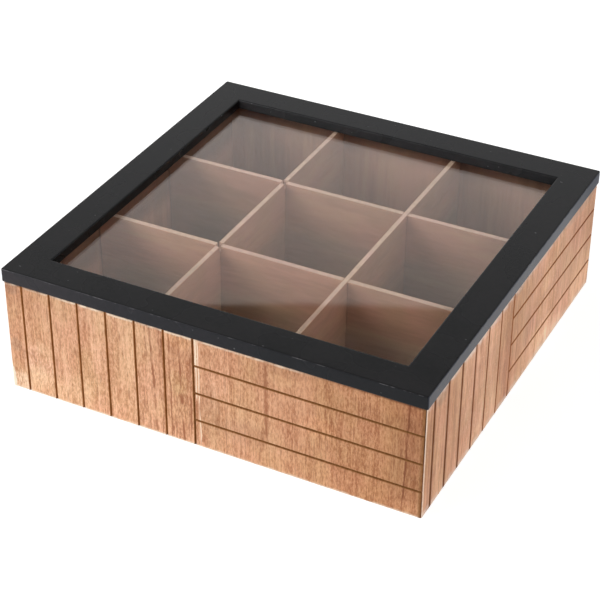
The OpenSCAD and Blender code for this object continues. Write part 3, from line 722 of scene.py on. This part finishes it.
def grooveLines(centre, scorch):
    # places across a groove, how deep it is there and how burnt
    rim = wallShape["grooveRim"]
    half = [(rim + scorch, 0.0, 0.0), (rim + 0.6 * scorch, 0.0, 0.5), (rim, 0.0, 0.92)]
    half += [(offset, depth, 1.0) for offset, depth in wallShape["grooveSection"]]
    return ([(centre - s * mm, d * mm, b) for s, d, b in half] + [(centre, wallShape["grooveDeep"] * mm, 1.0)]
            + [(centre + s * mm, d * mm, b) for s, d, b in half[::-1]])


def spread(lines, step):
    # plain grid lines between the grooves
    full = [lines[0]]
    for line in lines[1:]:
        gap = line[0] - full[-1][0]
        parts = int(gap // step) + 1 if gap > 1.5 * step else 1
        for k in range(1, parts):
            full.append((full[-1][0] + gap / parts, 0.0, 0.0))
        full.append(line)
    return full


def between(stops, at):
    for (low, first), (high, second) in zip(stops, stops[1:]):
        if low <= at <= high:
            return first + (second - first) * (at - low) / (high - low)
    return stops[0][1] if at < stops[0][0] else stops[-1][1]


def buildWall(side):
    shape = ownValues(wallShape, side)
    step, arris, quirk, corner = (shape[key] * mm for key in ("gridStep", "arris", "quirk", "cornerRound"))
    first, pitch = shape["uprights"]
    uprights = [(first + k * pitch) * mm - wallOut for k in range(shape["uprightCount"])]
    uprightScorch, levelScorch = shape["scorch"]

    # places along the wall: rounded left end, grooves, crisp right end
    lines = [(-wallOut + corner, 0.0, 0.0)]
    for centre, scorch in zip(uprights, uprightScorch):
        lines += grooveLines(centre, scorch)
    lines += [(wallOut - quirk - scorched * mm, 0.0, burn) for scorched, burn in shape["quirkScorch"]]
    lines = spread(lines, step) + [(u, 0.0, 0.0) for u in seatRims(side)]

    # rows upwards: eased foot, grooves and worn stretches with a painted highlight, eased top
    rubs = ([(arris + h * mm, rubAndGleam) for h, rubAndGleam in shape["rubbedFoot"]]
            + [(wallTop - arris - h * mm, rubAndGleam) for h, rubAndGleam in shape["rubbedAndLitTop"]])
    heights = [(h, 0.0, 0.0) for h, rubAndGleam in rubs]
    for height in shape["levels"]:
        heights += grooveLines(height * mm, levelScorch)
    turns = [math.radians(angle) for angle in shape["arrisTurns"]]
    foot = sorted((arris * (1 - math.sin(turn)), arris * (1 - math.cos(turn))) for turn in turns)
    rows = [(h, 0.0, 0.0, d) for h, d in foot]
    rows += [(h, depth, burn, 0.0) for h, depth, burn in spread(sorted(heights), step)]
    rows += [(wallTop - h, 0.0, 0.0, d) for h, d in foot[::-1]]

    def column(u, grooveDepth, grooveBurn, level, bend=None):
        # level: whether the level grooves run here; bend swings the column round the left-hand corner
        roof = wallTop - (hingeSeat["deep"] * mm if inSeat(side, u) else 0.0)
        points = []
        for height, levelDepth, levelBurn, bevel in rows:
            along = u
            depth = max(grooveDepth, levelDepth if level else 0.0, bevel)
            burn = max(grooveBurn, levelBurn if level else 0.0)
            # edge: how far the arris is worn and painted with a highlight
            edge = between(rubs, height)
            if height > wallTop / 2:
                edge *= between(shape["topRubAndLightAlong"], u / mm)
            if bend is not None:
                inner = max(0.0, corner - depth)
                along = -wallOut + corner - inner * math.sin(bend)
                depth = max(depth, corner - inner * math.cos(bend))
                edge = max(edge, shape["cornerRubAndGleam"] * math.sin(bend) ** 0.5)
            points.append((along, depth, min(height, roof), edge, burn))
        # over the top and down the inside to the lap of the bottom panel
        seat, lap = hingeSeat["reach"] * mm, wallThick - shape["floorLap"] * mm
        inside = [(seat, roof), (seat, wallTop), (wallThick, wallTop), (wallThick, floorTop), (lap, floorTop),
                  (lap, 0.0)]
        return points + [(u, depth, height, 0.0, 0.0) for depth, height in inside]

    last = uprights[-1]
    columns = [column(-wallOut, 0.0, 0.0, False, math.radians(angle)) for angle in shape["cornerTurns"]]
    columns += [column(u, depth, burn, u >= last) for u, depth, burn in sorted(lines)]
    # a small round, then the quirk's wall down to the mitre
    lipBurn = shape["quirkScorch"][-1][1]
    for slip, sink in shape["quirkLip"]:
        points = column(wallOut - quirk - slip * mm, sink * mm, 0.0, True)
        columns.append([(u, d, h, e, max(b, lipBurn) if i < len(rows) else b)
                        for i, (u, d, h, e, b) in enumerate(points)])
    points = column(wallOut - quirk, quirk, 0.0, True)
    columns.append([(u, d, h, 0.0, 1.0 if i < len(rows) else 0.0)
                    for i, (u, d, h, e, b) in enumerate(points)])
    skin = [0] * (len(rows) - 1) + [1] * (len(points) - len(rows) + 1)
    bm = bmesh.new()
    loftBoard(bm, columns, side, wallOut, skin)
    inside = boardOf["board_side_face" if side in ("right", "left") else "board_inner_face"]
    finishMesh(side + "_wall_board", bm, [veneerOf[side], inside], "box", side + "_wall")


for side in sides:
    buildWall(side)
print("walls built")


# lid rails
railShape = {
    "edgeRound": 0.8,
    "roundSteps": 6,
    "flatFrom": 0.3,            # where the flats begin past the rounds, in mm
    "outerLines": (0.35, 0.7),  # lines along the outer side, as shares of its height
    "innerLip": (0.15, 0.05),   # the small bevel under the inner side: height and width in mm
    "rebate": (5.0, 2.7),       # the step that takes the glass: width and height in mm
    "cornerRound": 1.02,
    "cornerTurns": (45, 33, 22, 11),
    "gridSteps": 24,
}


def buildRail(side):
    shape = railShape
    radius, corner, flat = (shape[key] * mm for key in ("edgeRound", "cornerRound", "flatFrom"))
    rebateWide, rebateHigh = (size * mm for size in shape["rebate"])
    lipHigh, lipWide = (size * mm for size in shape["innerLip"])
    seat, sunk = hingeSeat["reach"] * mm, hingeSeat["deep"] * mm
    steps = shape["roundSteps"]

    def arc(depthAt, heightAt, start):
        # a quarter round; just outside the crest of the outer one a thin line gets a painted highlight
        found = []
        for k in range(steps, -1, -1):
            angle = math.radians(start + 90 * k / steps)
            worn = 1.0 if start == 90 and 2 * k == steps + 2 else 0.0
            found.append((depthAt + radius * math.cos(angle), heightAt + radius * math.sin(angle), worn))
        return found

    # round the section from the underside: outer foot, outer top, inner top, then the rebate;
    # the outer and the inner side each begin and end in the middle of a round or at the lip
    section = [(seat, 0.0, 0.0), (radius + flat, 0.0, 0.0)]
    outerFrom = len(section) + steps // 2
    section += arc(radius, radius, 180)
    section += [(0.0, share * railThick, 0.0) for share in shape["outerLines"]]
    outerTo = len(section) + steps // 2
    section += arc(radius, railThick - radius, 90)
    section += [(depth, railThick, 0.0)
                for depth in (radius + flat, railWide * 0.5, railWide - radius - flat)]
    innerFrom = len(section) + steps // 2
    section += arc(railWide - radius, railThick - radius, 0)
    section += [(railWide, rebateHigh + lipHigh, 0.0)]
    innerTo = len(section)
    section += [(railWide - lipWide, rebateHigh, 0.0), (railWide - rebateWide, rebateHigh, 0.0),
                (railWide - rebateWide, 0.0, 0.0), (seat, 0.0, 0.0)]
    skin = [0] * len(section)
    skin[outerFrom:outerTo] = [1] * (outerTo - outerFrom)
    skin[innerFrom:innerTo] = [2] * (innerTo - innerFrom)

    def column(u, bend=None):
        points = []
        for i, (depth, height, edge) in enumerate(section):
            along = u
            if bend is not None:  # swing round the corner of the lid
                inner = max(0.0, corner - depth)
                along = -railOut + corner - inner * math.sin(abs(bend))
                along = along if bend > 0 else -along
                depth = max(depth, corner - inner * math.cos(bend))
            if inSeat(side, u) and depth <= seat + 1e-9 and i < len(section) - 1:
                height = max(height, sunk)
            points.append((along, depth, wallTop + height, edge if depth < railWide * 0.5 else 0.0, 0.0))
        return points

    turns = [math.radians(angle) for angle in shape["cornerTurns"]]
    count = shape["gridSteps"]
    places = [-railOut + corner + k * 2 * (railOut - corner) / count for k in range(count + 1)]
    columns = [column(-railOut, turn) for turn in turns]
    columns += [column(u) for u in sorted(places + seatRims(side))]
    columns += [column(railOut, -turn) for turn in turns[::-1]]
    bm = bmesh.new()
    loftBoard(bm, columns, side, railOut, skin)
    way = "deep" if side in ("right", "left") else "across"
    outer = way + "_outer" if side in ("front", "right") else way
    node = "lid_" + side + "_rail"
    finishMesh(node + "_moulding", bm, [lacquerOf[kind] for kind in (way, outer, way + "_inner")], "lid",
               node, 40)


for side in sides:
    buildRail(side)
print("lid rails built")


# dividers; all sizes in mm
dividerShape = {
    "crossThick": 3.2,
    "deepThick": 2.7,
    "at": 37.5,       # middle of each divider, from the middle of the box
    "slotPlay": 0.5,
    "lapPlay": 0.2,
    "notchPlay": 1.2,
    "notchDeep": 3.4,
    "easedEdge": 0.16,
}


def buildDivider(name, deep=False, notched=False):
    # deep: it runs from front to back; notched: its top has a small notch at each crossing
    shape = dividerShape
    low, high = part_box(name)
    half = (high.y - low.y if deep else high.x - low.x) / 2
    foot, top = low.z, high.z
    middle = (foot + top) / 2
    thick, other = shape["crossThick"], shape["deepThick"]
    if deep:
        thick, other = other, thick
    at, slot = shape["at"] * mm, (other + shape["slotPlay"]) * mm / 2
    play = shape["lapPlay"] * mm / 2
    notch, notchFloor = (other + shape["notchPlay"]) * mm / 2, top - shape["notchDeep"] * mm

    def cut(place, wide, rim, floor):
        return [(place - wide, rim), (place - wide, floor), (place + wide, floor), (place + wide, rim)]

    outline = [(-half, foot)]
    for place in (-at, at):
        if deep:  # slots from below
            outline += cut(place, slot, foot, middle + play)
    outline += [(half, foot), (half, top)]
    for place in (at, -at):
        if not deep:  # slots from above
            outline += cut(place, slot, top, middle - play)[::-1]
        elif notched:
            outline += cut(place, notch, top, notchFloor)[::-1]
    outline += [(-half, top)]
    bm = bmesh.new()
    thick *= mm / 2
    centre = (low.x + high.x) / 2 if deep else (low.y + high.y) / 2
    face = bm.faces.new([bm.verts.new((centre - thick, u, z) if deep else (u, centre - thick, z))
                         for u, z in outline])
    grown = bmesh.ops.extrude_face_region(bm, geom=[face])
    moved = [item for item in grown["geom"] if isinstance(item, bmesh.types.BMVert)]
    bmesh.ops.translate(bm, verts=moved, vec=(2 * thick, 0, 0) if deep else (0, 2 * thick, 0))
    bmesh.ops.recalc_face_normals(bm, faces=bm.faces)
    for face in bm.faces:
        face.material_index = 1 if abs(face.normal.z) > 0.9 or len(face.verts) == 4 else 0
    rims = [edge for edge in bm.edges if len(edge.link_faces) == 2 and edge.calc_face_angle(0) > 0.5]
    bmesh.ops.bevel(bm, geom=rims, offset=shape["easedEdge"] * mm, segments=2, profile=0.6, affect="EDGES")
    way = "deep" if deep else "cross"
    materials = [boardOf["board_" + way + part] for part in ("_face", "_edge")]
    finishMesh(name + "_board", bm, materials, "box", name)


buildDivider("divider_front")
buildDivider("divider_back")
buildDivider("divider_left", deep=True, notched=True)
buildDivider("divider_right", deep=True)
print("dividers built")


# bottom panel and glass pane: how far their edges are eased, in mm, and in how many steps
sheetShape = {"bottom": (0.25, 2), "pane": (0.3, 3)}


def buildSheet(name, node, material, body, slot, eased, segments):
    low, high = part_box(node)
    bm = bmesh.new()
    bmesh.ops.create_cube(bm, size=1.0)
    bmesh.ops.scale(bm, vec=high - low, verts=bm.verts)
    bmesh.ops.translate(bm, vec=(low + high) / 2, verts=bm.verts)
    bmesh.ops.bevel(bm, geom=bm.edges[:], offset=eased * mm, segments=segments, profile=0.5, affect="EDGES")
    finishMesh(name, bm, [material], body, node, 5)


buildSheet("bottom_board", "bottom_panel", boardOf["hardboard"], "box", "hardboard", *sheetShape["bottom"])
buildSheet("pane", "glass_pane", glassClear, "lid", "glass", *sheetShape["pane"])
print("bottom and glass built")


# small hardware keeps its CAD shape
hardware = {
    "hinge_left_wall_leaf": brass, "hinge_left_lid_leaf": brass,
    "hinge_right_wall_leaf": brass, "hinge_right_lid_leaf": brass,
    "hinge_left_pin": zinc, "hinge_right_pin": zinc,
    "wall_screws": zinc, "lid_screws": zinc, "glass_sealant": sealantBlack,
}
for name, material in hardware.items():
    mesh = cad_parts[name].data
    mesh.materials.clear()
    mesh.materials.append(material)
    mesh.shade_smooth()
    mesh.set_sharp_from_angle(angle=math.radians(30))
print("hardware finished")


# floor, light and camera
studio = {
    "floorColour": ((0.56, 0.56, 0.56), (0.57, 0.57, 0.57)),
    "floorNoise": 3,
    "floorHalf": 4.0,        # metres from the middle to its edge
    "floorGlow": 0.70,       # lights nothing, seen straight or mirrored it runs the floor into the backdrop
    "backdropTop": 33.8,     # how high the white backdrop reaches, in degrees
    "backdropDims": 28.5,    # where it starts to fall off towards its top
    "backdropFoot": 0.93,    # how bright it looks in the glass low down and at its top
    "backdropRim": 0.64,
    "aboveBackdrop": (0.04, 0.14, 35.6),  # just above the backdrop, and higher up from so many degrees on
    "ambient": 0.85,         # how bright the surroundings light the box, up to the backdrop's top and above
    "ambientAbove": 0.35,
    # softboxes: from which way, how far off in metres, how wide in metres, how strong in watts
    "softboxes": {"key_softbox": ((-0.66, -0.50, 0.56), 1.9, 1.25, 21.8),
                  "fill_softbox": ((0.80, -0.35, 0.48), 1.7, 0.9, 7.5)},
    "softboxAim": (0, 0, 0.03),
    "softboxInGlass": 0.95,  # how bright a softbox looks in the glass, so that the pane isn't blank white
    "coverSize": 0.51,       # the cover in front of a softbox: half its width, and how near it stands
    "coverAt": 0.985,
}


def stageSheet(name, half, segments, material):
    bm = bmesh.new()
    bmesh.ops.create_grid(bm, x_segments=segments, y_segments=segments, size=half)
    mesh = bpy.data.meshes.new(name)
    bm.to_mesh(mesh)
    bm.free()
    mesh.materials.append(material)
    sheet = bpy.data.objects.new(name, mesh)
    scene.collection.objects.link(sheet)
    return sheet


def mirroredRay(path):
    return calc("MAXIMUM", path["Is Glossy Ray"], path["Is Transmission Ray"])


def buildFloor():
    material = newMaterial("floor_paper")
    tone = mixColour(grain(objectSpot(), studio["floorNoise"]), *studio["floorColour"])
    paper = put("BsdfDiffuse", {"Color": tone})
    path = put("LightPath").outputs
    seen = calc("MAXIMUM", path["Is Camera Ray"], mirroredRay(path))
    glow = put("Emission", {"Color": (1, 1, 1), "Strength": times(seen, studio["floorGlow"])})
    paint(put("AddShader", {0: paper.outputs[0], 1: glow.outputs[0]}))
    floor = stageSheet("floor", studio["floorHalf"], 8, material)


def buildWorld():
    scene.world = startNodes(bpy.data.worlds.new("studio"))
    dark, dim, high = studio["aboveBackdrop"]
    dims, edge, sky = (math.sin(math.radians(angle))
                       for angle in (studio["backdropDims"], studio["backdropTop"], high))
    up = put("SeparateXYZ", {0: put("TexCoord").outputs["Generated"]}).outputs[2]
    below = ease(up, edge - 0.002, edge + 0.002, 1.0, 0.0)
    fall = slide(up, dims, edge, studio["backdropFoot"], studio["backdropRim"])
    above = slide(up, edge, sky, dark, dim)
    mirrored = put("Mix", {0: below, 2: above, 3: fall}, data_type="FLOAT").outputs[0]
    diffuse = slide(below, 0.0, 1.0, studio["ambientAbove"], studio["ambient"])
    path = put("LightPath").outputs
    shine = times(mirroredRay(path), calc("LESS_THAN", path["Diffuse Depth"], 0.5))
    level = put("Mix", {0: shine, 2: diffuse, 3: mirrored}, data_type="FLOAT").outputs[0]
    level = calc("MAXIMUM", level, path["Is Camera Ray"])
    back = put("Background", {"Color": (1, 1, 1), "Strength": level})
    put("OutputWorld", {"Surface": back.outputs[0]})


def addSoftbox(name, toward, away, size, power):
    light = bpy.data.lights.new(name, "AREA")
    light.shape = "SQUARE"
    light.size = size
    light.energy = power
    lamp = bpy.data.objects.new(name, light)
    aim = Vector(studio["softboxAim"])
    spot = Vector(toward).normalized() * away + aim
    lamp.location = spot
    lamp.rotation_euler = (aim - spot).to_track_quat("-Z", "Y").to_euler()
    scene.collection.objects.link(lamp)

    # a cover that only the sharp mirroring of the glass sees, every other ray passes it
    material = newMaterial(name + "_cover")
    path = put("LightPath").outputs
    mirrored = times(path["Is Singular Ray"], calc("LESS_THAN", path["Diffuse Depth"], 0.5))
    mirrored = times(mirrored, calc("LESS_THAN", path["Transmission Depth"], 2.5))
    clear = put("BsdfTransparent", {"Color": (1, 1, 1)})
    glow = put("Emission", {"Color": (1, 1, 1), "Strength": studio["softboxInGlass"]})
    paint(put("MixShader", {0: mirrored, 1: clear.outputs[0], 2: glow.outputs[0]}))
    cover = stageSheet(name + "_cover", studio["coverSize"] * size, 1, material)
    cover.location = spot * studio["coverAt"]
    cover.rotation_euler = lamp.rotation_euler


lens = {
    "focal": 108.45,  # mm
    "place": (370.49, -746.93, 576.39),  # mm
    "round": 26.88, "above": 33.671, "roll": 0.353,  # degrees
}


def buildCamera():
    a, e, r = (math.radians(lens[key]) for key in ("round", "above", "roll"))
    back = Vector((math.sin(a) * math.cos(e), -math.cos(a) * math.cos(e), math.sin(e)))
    right = Vector((math.cos(a), math.sin(a), 0))
    down = Vector((math.sin(e) * math.sin(a), -math.sin(e) * math.cos(a), -math.cos(e)))
    right, down = (math.cos(r) * right - math.sin(r) * down, math.sin(r) * right + math.cos(r) * down)
    data = bpy.data.cameras.new("camera")
    data.lens = lens["focal"]
    data.sensor_width = 36.0
    data.clip_start = 0.05
    data.clip_end = 50.0
    camera = bpy.data.objects.new("camera", data)
    pose = Matrix((right, -down, back)).transposed().to_4x4()
    pose.translation = Vector(lens["place"]) * mm
    camera.matrix_world = pose
    scene.collection.objects.link(camera)
    scene.camera = camera


buildFloor()
buildWorld()
for name, values in studio["softboxes"].items():
    addSoftbox(name, *values)
buildCamera()
scene.view_settings.view_transform = "Standard"
print("studio ready")
